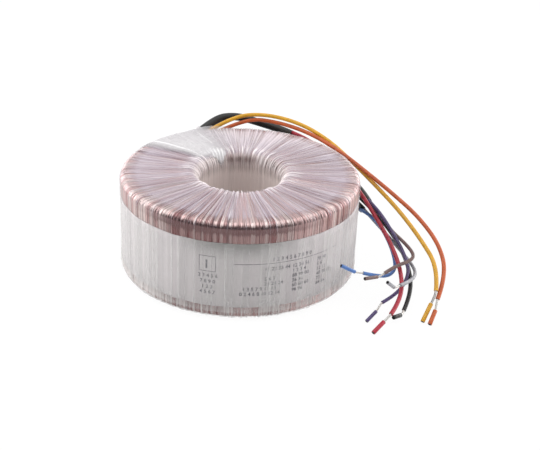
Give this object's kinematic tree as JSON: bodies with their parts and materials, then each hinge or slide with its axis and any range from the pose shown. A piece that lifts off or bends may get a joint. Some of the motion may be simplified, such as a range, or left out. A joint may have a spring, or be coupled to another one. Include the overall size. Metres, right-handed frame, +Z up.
{
  "type": "toroidal transformer",
  "caption": "Ring-shaped mains transformer, wound on a toroidal core under clear film, with stripped flying leads.",
  "frame": {"origin": "centre of the ring's bottom face, on the axis of its hole", "axes": "+Z up along the axis of the hole; the leads leave the top near +Y and lie towards +X"},
  "size_m": [0.1811, 0.1591, 0.0652],
  "materials": {
    "silicon_steel": "wound strip",
    "polyester_tape": "satin",
    "enamelled_copper": "enamelled wire",
    "label_paper": "satin",
    "clear_film": "stretched film",
    "white_film": "crumpled film",
    "black_sleeving": "satin",
    "tinned_copper": "stranded",
    "yellow_pvc": "satin pvc",
    "orange_pvc": "satin pvc",
    "red_pvc": "satin pvc",
    "black_pvc": "satin pvc",
    "brown_pvc": "satin pvc",
    "violet_pvc": "satin pvc",
    "blue_pvc": "satin pvc",
    "grey_pvc": "satin pvc"
  },
  "bodies": {
    "root": {"core": "silicon_steel", "core_tape": "polyester_tape", "primary_winding_1": "enamelled_copper", "primary_winding_2": "enamelled_copper", "interwinding_insulation": "polyester_tape", "secondary_winding_1": "enamelled_copper", "secondary_winding_2": "enamelled_copper", "label_band": "label_paper", "film_jacket": "clear_film", "lead_exit_patch": "white_film", "black_red_sleeve": "black_sleeving", "violet_brown_sleeve": "black_sleeving", "blue_grey_sleeve": "black_sleeving", "yellow_lead": "yellow_pvc", "yellow_conductor": "tinned_copper", "yellow_slug": "yellow_pvc", "orange_lead": "orange_pvc", "orange_conductor": "tinned_copper", "orange_slug": "orange_pvc", "red_lead": "red_pvc", "red_conductor": "tinned_copper", "red_slug": "red_pvc", "black_lead": "black_pvc", "black_conductor": "tinned_copper", "black_slug": "black_pvc", "brown_lead": "brown_pvc", "brown_conductor": "tinned_copper", "brown_slug": "brown_pvc", "violet_lead": "violet_pvc", "violet_conductor": "tinned_copper", "violet_slug": "violet_pvc", "blue_lead": "blue_pvc", "blue_conductor": "tinned_copper", "blue_slug": "blue_pvc", "grey_lead": "grey_pvc", "grey_conductor": "tinned_copper", "grey_slug": "grey_pvc"}
  },
  "joints": []
}
